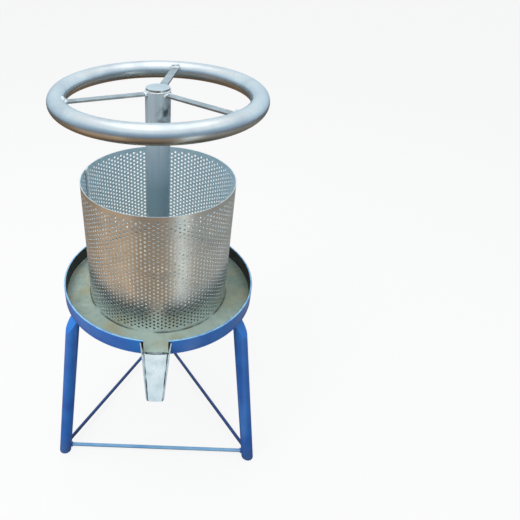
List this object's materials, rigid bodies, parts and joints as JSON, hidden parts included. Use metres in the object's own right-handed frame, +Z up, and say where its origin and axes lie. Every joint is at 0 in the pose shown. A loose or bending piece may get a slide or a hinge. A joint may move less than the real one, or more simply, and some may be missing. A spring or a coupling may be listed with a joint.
{
  "type": "fruit press",
  "caption": "Hand-turned screw fruit press: a handwheel drives a plate down a perforated basket standing in a spouted tray on three pipe legs.",
  "frame": {"origin": "on the screw's axis, at the floor that the feet stand on", "axes": "+Z up along the screw, -Y towards the spout, +X to the right as seen from the spout"},
  "size_m": [0.4631, 0.5174, 0.8235],
  "materials": {
    "frame_pipe": "satin",
    "rod": "satin",
    "tray_steel": "satin",
    "rim_bar": "satin",
    "chute_sheet": "bright",
    "screw_steel": "oiled",
    "seal_rubber": "matte",
    "fastener": "zinc",
    "perforated_sheet": "satin",
    "plate_steel": "satin",
    "bronze": "turned",
    "sleeve_pipe": "satin",
    "wheel_pipe": "bright"
  },
  "bodies": {
    "stand": {"leg_left": "frame_pipe", "leg_right": "frame_pipe", "leg_back": "frame_pipe", "stretcher_front": "rod", "stretcher_right": "rod", "stretcher_left": "rod", "arm_left": "frame_pipe", "arm_right": "frame_pipe", "arm_back": "frame_pipe", "screw_hub": "frame_pipe", "tray_floor": "tray_steel", "tray_rim": "rim_bar", "spout_chute": "chute_sheet", "screw": "screw_steel", "floor_seal": "seal_rubber", "floor_nut": "fastener", "lock_nut": "fastener", "hub_washer": "fastener", "hub_nut": "fastener"},
    "basket": {"basket": "perforated_sheet", "basket_seam": "perforated_sheet"},
    "press_plate": {"press_plate": "plate_steel", "plate_rib_1": "plate_steel", "plate_rib_2": "plate_steel", "plate_rib_3": "plate_steel", "plate_collar": "plate_steel", "keeper_ring": "plate_steel", "keeper_bolts": "fastener", "thrust_washer": "bronze"},
    "handwheel": {"sleeve": "sleeve_pipe", "sleeve_nut": "bronze", "thrust_flange": "plate_steel", "sleeve_cap": "sleeve_pipe", "wheel_ring": "wheel_pipe", "spoke_1": "wheel_pipe", "spoke_2": "wheel_pipe", "spoke_3": "wheel_pipe"}
  },
  "joints": [
    {"name": "wheel_spin", "type": "hinge", "parent": "press_plate", "child": "handwheel", "pos_m": [0, 0, 0.8085], "axis": [0, 0, 1], "range_deg": [0, 16200]},
    {"name": "plate_slide", "type": "slide", "parent": "stand", "child": "press_plate", "axis": [0, 0, 1], "range_m": [0, 0.2701]},
    {"name": "basket_lift", "type": "slide", "parent": "stand", "child": "basket", "axis": [0, 0, 1], "range_m": [0, 0.139]}
  ],
  "couplings": [
    {"joint": "plate_slide", "follows": "wheel_spin", "m_per_rad": 0.00095493}
  ]
}
